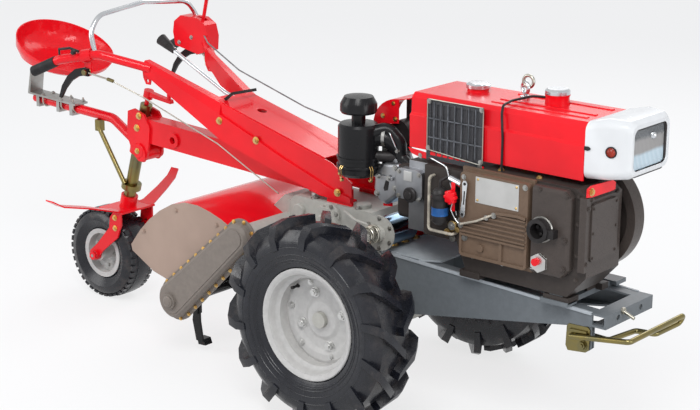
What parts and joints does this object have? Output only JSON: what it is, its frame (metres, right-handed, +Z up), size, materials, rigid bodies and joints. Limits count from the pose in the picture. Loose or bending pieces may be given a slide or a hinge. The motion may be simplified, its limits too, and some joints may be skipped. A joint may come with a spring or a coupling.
{
  "type": "walking tractor",
  "caption": "Single-axle diesel walking tractor with a rotary tiller behind, a ride-on seat, a steered tail wheel and handlebar controls",
  "frame": {"origin": "on the ground below the middle of the bounding box", "axes": "+X forward to the headlamp, +Y to the machine's left, +Z up"},
  "size_m": [2.627, 0.982, 1.1927],
  "materials": {
    "tractor_red": "gloss",
    "frame_grey": "satin",
    "black_paint": "satin",
    "casting_cream": "satin",
    "engine_casting": "satin",
    "head_casting": "satin",
    "cover_alloy": "satin",
    "tyre_rubber": "matte",
    "wheel_paint": "satin",
    "zinc_plate": "satin",
    "bright_steel": "polished",
    "grip_rubber": "matte",
    "lamp_shell": "gloss",
    "lamp_glass": "gloss",
    "tiller_brown": "satin"
  },
  "bodies": {
    "frame": {"air_cleaner": "black_paint", "belt_guard": "tractor_red", "chain_case": "tiller_brown", "chassis_frame": "frame_grey", "clutch_drum": "bright_steel", "clutch_lever": "tractor_red", "cylinder_head": "head_casting", "engine_block": "engine_casting", "fuel_filter": "black_paint", "gear_cover": "cover_alloy", "gear_lever": "bright_steel", "gearbox": "casting_cream", "guard_rail": "bright_steel", "handle_grips": "grip_rubber", "handle_panel": "tractor_red", "handlebar": "tractor_red", "head_lamp": "lamp_glass", "hood": "tractor_red", "hood_fittings": "bright_steel", "lamp_housing": "lamp_shell", "radiator_grille": "black_paint", "seat_pan": "tractor_red", "seat_spring": "black_paint", "seat_stay": "zinc_plate", "seat_tube": "tractor_red", "silencer": "tractor_red", "start_housing": "cover_alloy", "steering_levers": "black_paint", "tail_beam": "tractor_red", "tiller_gearcase": "casting_cream", "tiller_hood": "tractor_red"},
    "right_wheel": {"right_drive_tyre": "tyre_rubber", "right_drive_rim": "wheel_paint", "right_drive_hub": "casting_cream"},
    "left_wheel": {"left_drive_tyre": "tyre_rubber", "left_drive_rim": "wheel_paint", "left_drive_hub": "casting_cream"},
    "rotor": {"rotor_shaft": "black_paint", "rotor_tines": "black_paint"},
    "engine_flywheel": {"flywheel": "head_casting"},
    "column": {"tail_column": "zinc_plate", "depth_crank": "tractor_red"},
    "fork": {"tail_fork": "tractor_red"},
    "tail_wheel": {"tail_tyre": "tyre_rubber", "tail_rim": "wheel_paint"},
    "stand": {"front_stand": "zinc_plate"}
  },
  "joints": [
    {"name": "right_wheel_turn", "type": "hinge", "parent": "frame", "child": "right_wheel", "pos_m": [0.42072, -0.403, 0.318], "axis": [0, 1, 0], "continuous": true},
    {"name": "left_wheel_turn", "type": "hinge", "parent": "frame", "child": "left_wheel", "pos_m": [0.42072, 0.403, 0.318], "axis": [0, 1, 0], "continuous": true},
    {"name": "rotor_turn", "type": "hinge", "parent": "frame", "child": "rotor", "pos_m": [-0.27028, 0, 0.206], "axis": [0, 1, 0], "continuous": true},
    {"name": "flywheel_turn", "type": "hinge", "parent": "frame", "child": "engine_flywheel", "pos_m": [1.03272, 0, 0.664], "axis": [0, 1, 0], "continuous": true},
    {"name": "depth_slide", "type": "slide", "parent": "frame", "child": "column", "axis": [-0.2767, 0, -0.961], "range_m": [0, 0.06]},
    {"name": "fork_steer", "type": "hinge", "parent": "column", "child": "fork", "pos_m": [-0.82228, 0, 0.381], "axis": [0.2767, 0, 0.961], "range_deg": [-35, 35]},
    {"name": "tail_wheel_turn", "type": "hinge", "parent": "fork", "child": "tail_wheel", "pos_m": [-0.92128, 0, 0.165], "axis": [0, 1, 0], "continuous": true},
    {"name": "stand_pivot", "type": "hinge", "parent": "frame", "child": "stand", "pos_m": [1.11472, -0.125, 0.36], "axis": [0, 1, 0], "range_deg": [0, 95]}
  ]
}
